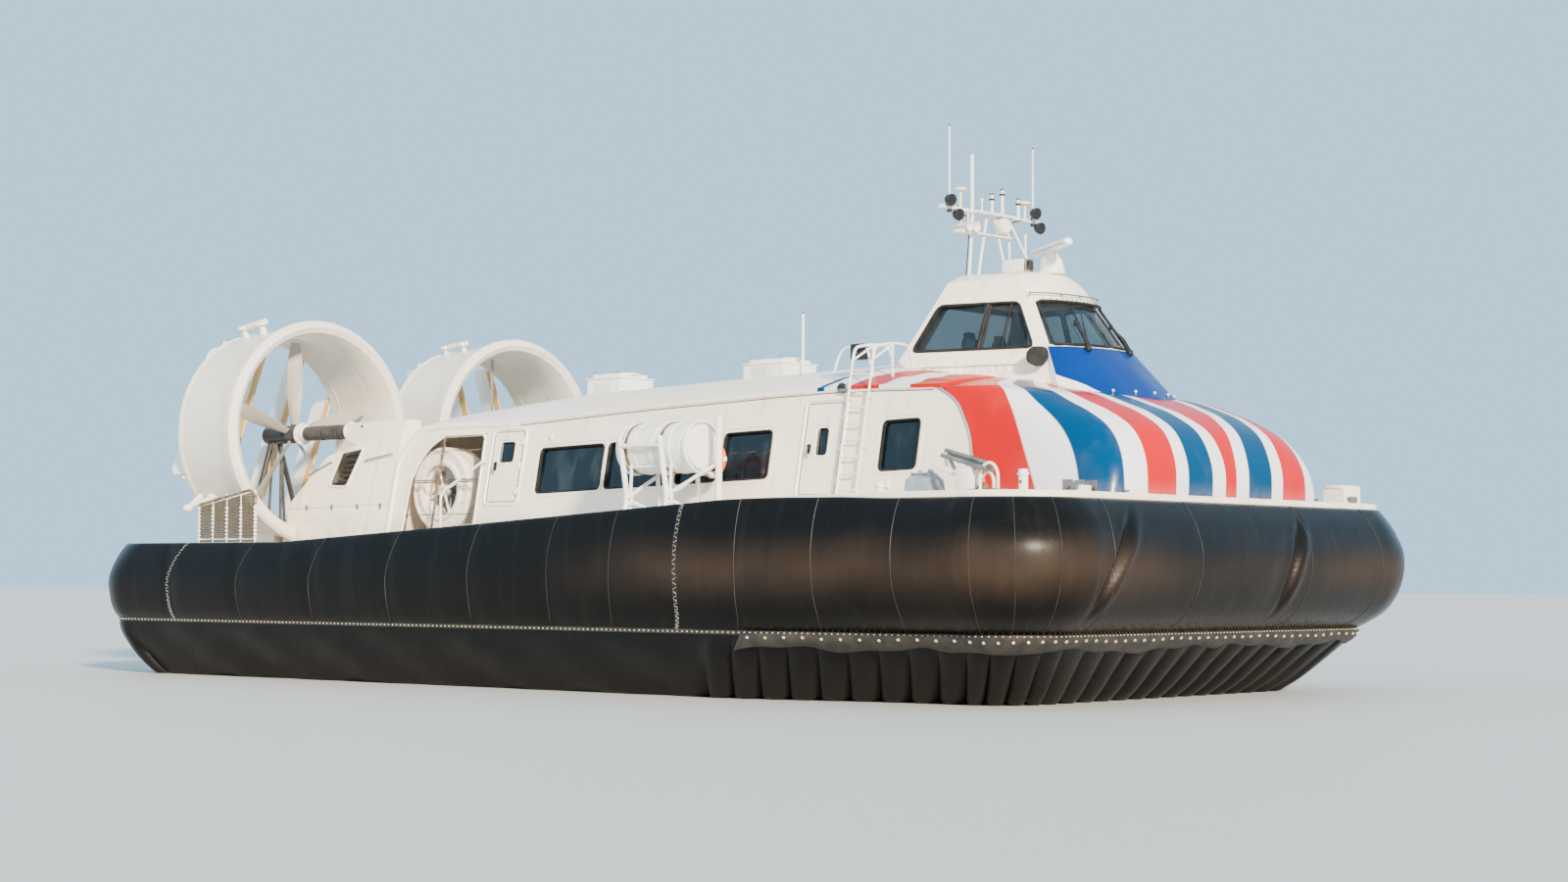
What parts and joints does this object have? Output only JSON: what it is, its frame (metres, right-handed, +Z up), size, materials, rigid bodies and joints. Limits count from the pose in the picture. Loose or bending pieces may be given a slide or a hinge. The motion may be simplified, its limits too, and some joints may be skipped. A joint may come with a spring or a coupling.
{
  "type": "passenger hovercraft",
  "caption": "Amphibious passenger craft on an inflated skirt, with side windows, a raised wheelhouse and two ducted propellers with rudders.",
  "frame": {"origin": "on the ground under the middle of the hull", "axes": "+X to the bow, +Y to port, +Z up"},
  "size_m": [23.86, 12.46, 9.94],
  "materials": {
    "cream_paint": "gloss paint",
    "hull_grey": "matt paint",
    "skirt_rubber": "coated fabric",
    "black_rubber": "moulded",
    "dome_blue": "gloss paint",
    "panel_blue": "gloss paint",
    "dark_glass": "tinted",
    "dark_metal": "satin paint",
    "engine_metal": "painted",
    "white_paint": "gloss paint",
    "seat_fabric": "woven"
  },
  "bodies": {
    "craft": {"deck": "cream_paint", "cabin_roof": "cream_paint", "rear_bulkhead": "cream_paint", "cabin_bulkhead": "cream_paint", "wheelhouse": "cream_paint", "mast": "cream_paint", "radar_pedestal": "cream_paint", "searchlight": "cream_paint", "bow_locker": "cream_paint", "cabin_side_starboard": "cream_paint", "cabin_side_port": "cream_paint", "engine_cowl_starboard": "cream_paint", "engine_cowl_port": "cream_paint", "duct_starboard": "cream_paint", "duct_port": "cream_paint", "fan_intake_starboard": "cream_paint", "fan_intake_port": "cream_paint", "stern_fence_starboard": "cream_paint", "stern_fence_port": "cream_paint", "hull": "hull_grey", "skirt_bag": "skirt_rubber", "skirt_fingers": "skirt_rubber", "landing_skid_starboard": "black_rubber", "landing_skid_port": "black_rubber", "bow_dome": "dome_blue", "wheelhouse_apron": "panel_blue", "side_glazing_starboard": "dark_glass", "side_glazing_port": "dark_glass", "forward_glazing_starboard": "dark_glass", "forward_glazing_port": "dark_glass", "wheelhouse_glazing": "dark_glass", "engine_block_starboard": "engine_metal", "engine_block_port": "engine_metal", "bow_roller": "engine_metal", "roof_unit_aft": "white_paint", "roof_unit_forward": "white_paint", "ladder_starboard": "white_paint", "ladder_port": "white_paint", "life_raft_starboard": "white_paint", "life_raft_port": "white_paint", "cabin_seats": "seat_fabric", "helm": "seat_fabric"},
    "propeller_starboard": {"propeller_starboard": "dark_metal"},
    "lift_fan_starboard": {"lift_fan_starboard": "dark_metal"},
    "rudder_1_starboard": {"rudder_1_starboard": "white_paint"},
    "rudder_2_starboard": {"rudder_2_starboard": "white_paint"},
    "rudder_3_starboard": {"rudder_3_starboard": "white_paint"},
    "rudder_4_starboard": {"rudder_4_starboard": "white_paint"},
    "passenger_door_starboard": {"passenger_door_starboard": "cream_paint"},
    "aft_hatch_starboard": {"aft_hatch_starboard": "cream_paint"},
    "propeller_port": {"propeller_port": "dark_metal"},
    "lift_fan_port": {"lift_fan_port": "dark_metal"},
    "rudder_1_port": {"rudder_1_port": "white_paint"},
    "rudder_2_port": {"rudder_2_port": "white_paint"},
    "rudder_3_port": {"rudder_3_port": "white_paint"},
    "rudder_4_port": {"rudder_4_port": "white_paint"},
    "passenger_door_port": {"passenger_door_port": "cream_paint"},
    "aft_hatch_port": {"aft_hatch_port": "cream_paint"},
    "radar_scanner": {"radar_scanner": "white_paint"}
  },
  "joints": [
    {"name": "rudder_2_starboard_turn", "type": "hinge", "parent": "craft", "child": "rudder_2_starboard", "pos_m": [-10.74, -3.325, 4.95], "axis": [0, 0.3239, 0.9461], "range_deg": [-30, 30]},
    {"name": "rudder_2_port_turn", "type": "hinge", "parent": "craft", "child": "rudder_2_port", "pos_m": [-10.74, 3.325, 4.95], "axis": [0, -0.3239, 0.9461], "range_deg": [-30, 30]},
    {"name": "propeller_starboard_spin", "type": "hinge", "parent": "craft", "child": "propeller_starboard", "pos_m": [-9.5, -2.8, 4.95], "axis": [1, 0, 0], "continuous": true},
    {"name": "lift_fan_starboard_spin", "type": "hinge", "parent": "craft", "child": "lift_fan_starboard", "pos_m": [-4.62, -2.86, 3.68], "axis": [0, 1, 0], "continuous": true},
    {"name": "rudder_1_starboard_turn", "type": "hinge", "parent": "craft", "child": "rudder_1_starboard", "pos_m": [-10.74, -4.375, 4.95], "axis": [0, 0.3239, 0.9461], "range_deg": [-30, 30]},
    {"name": "rudder_3_starboard_turn", "type": "hinge", "parent": "craft", "child": "rudder_3_starboard", "pos_m": [-10.74, -2.275, 4.95], "axis": [0, 0.3239, 0.9461], "range_deg": [-30, 30]},
    {"name": "rudder_4_starboard_turn", "type": "hinge", "parent": "craft", "child": "rudder_4_starboard", "pos_m": [-10.74, -1.225, 4.95], "axis": [0, 0.3239, 0.9461], "range_deg": [-30, 30]},
    {"name": "passenger_door_starboard_hinge", "type": "hinge", "parent": "craft", "child": "passenger_door_starboard", "pos_m": [5.672, -3.24264, 4.20476], "axis": [0, 0.1904, 0.9817], "range_deg": [0, 85]},
    {"name": "aft_hatch_starboard_hinge", "type": "hinge", "parent": "craft", "child": "aft_hatch_starboard", "pos_m": [-2.208, -3.26204, 4.10476], "axis": [0, 0.1904, 0.9817], "range_deg": [0, 110]},
    {"name": "propeller_port_spin", "type": "hinge", "parent": "craft", "child": "propeller_port", "pos_m": [-9.5, 2.8, 4.95], "axis": [1, 0, 0], "continuous": true},
    {"name": "lift_fan_port_spin", "type": "hinge", "parent": "craft", "child": "lift_fan_port", "pos_m": [-4.62, 2.86, 3.68], "axis": [0, 1, 0], "continuous": true},
    {"name": "rudder_1_port_turn", "type": "hinge", "parent": "craft", "child": "rudder_1_port", "pos_m": [-10.74, 4.375, 4.95], "axis": [0, -0.3239, 0.9461], "range_deg": [-30, 30]},
    {"name": "rudder_3_port_turn", "type": "hinge", "parent": "craft", "child": "rudder_3_port", "pos_m": [-10.74, 2.275, 4.95], "axis": [0, -0.3239, 0.9461], "range_deg": [-30, 30]},
    {"name": "rudder_4_port_turn", "type": "hinge", "parent": "craft", "child": "rudder_4_port", "pos_m": [-10.74, 1.225, 4.95], "axis": [0, -0.3239, 0.9461], "range_deg": [-30, 30]},
    {"name": "passenger_door_port_hinge", "type": "hinge", "parent": "craft", "child": "passenger_door_port", "pos_m": [5.672, 3.24264, 4.20476], "axis": [0, 0.1904, -0.9817], "range_deg": [0, 85]},
    {"name": "aft_hatch_port_hinge", "type": "hinge", "parent": "craft", "child": "aft_hatch_port", "pos_m": [-2.208, 3.26204, 4.10476], "axis": [0, 0.1904, -0.9817], "range_deg": [0, 110]},
    {"name": "radar_spin", "type": "hinge", "parent": "craft", "child": "radar_scanner", "pos_m": [7.8, 0, 7.7], "axis": [0, 0, 1], "continuous": true}
  ],
  "couplings": [
    {"joint": "rudder_1_starboard_turn", "follows": "rudder_2_starboard_turn", "ratio": 1},
    {"joint": "rudder_3_starboard_turn", "follows": "rudder_2_starboard_turn", "ratio": 1},
    {"joint": "rudder_4_starboard_turn", "follows": "rudder_2_starboard_turn", "ratio": 1},
    {"joint": "rudder_1_port_turn", "follows": "rudder_2_port_turn", "ratio": 1},
    {"joint": "rudder_3_port_turn", "follows": "rudder_2_port_turn", "ratio": 1},
    {"joint": "rudder_4_port_turn", "follows": "rudder_2_port_turn", "ratio": 1}
  ]
}
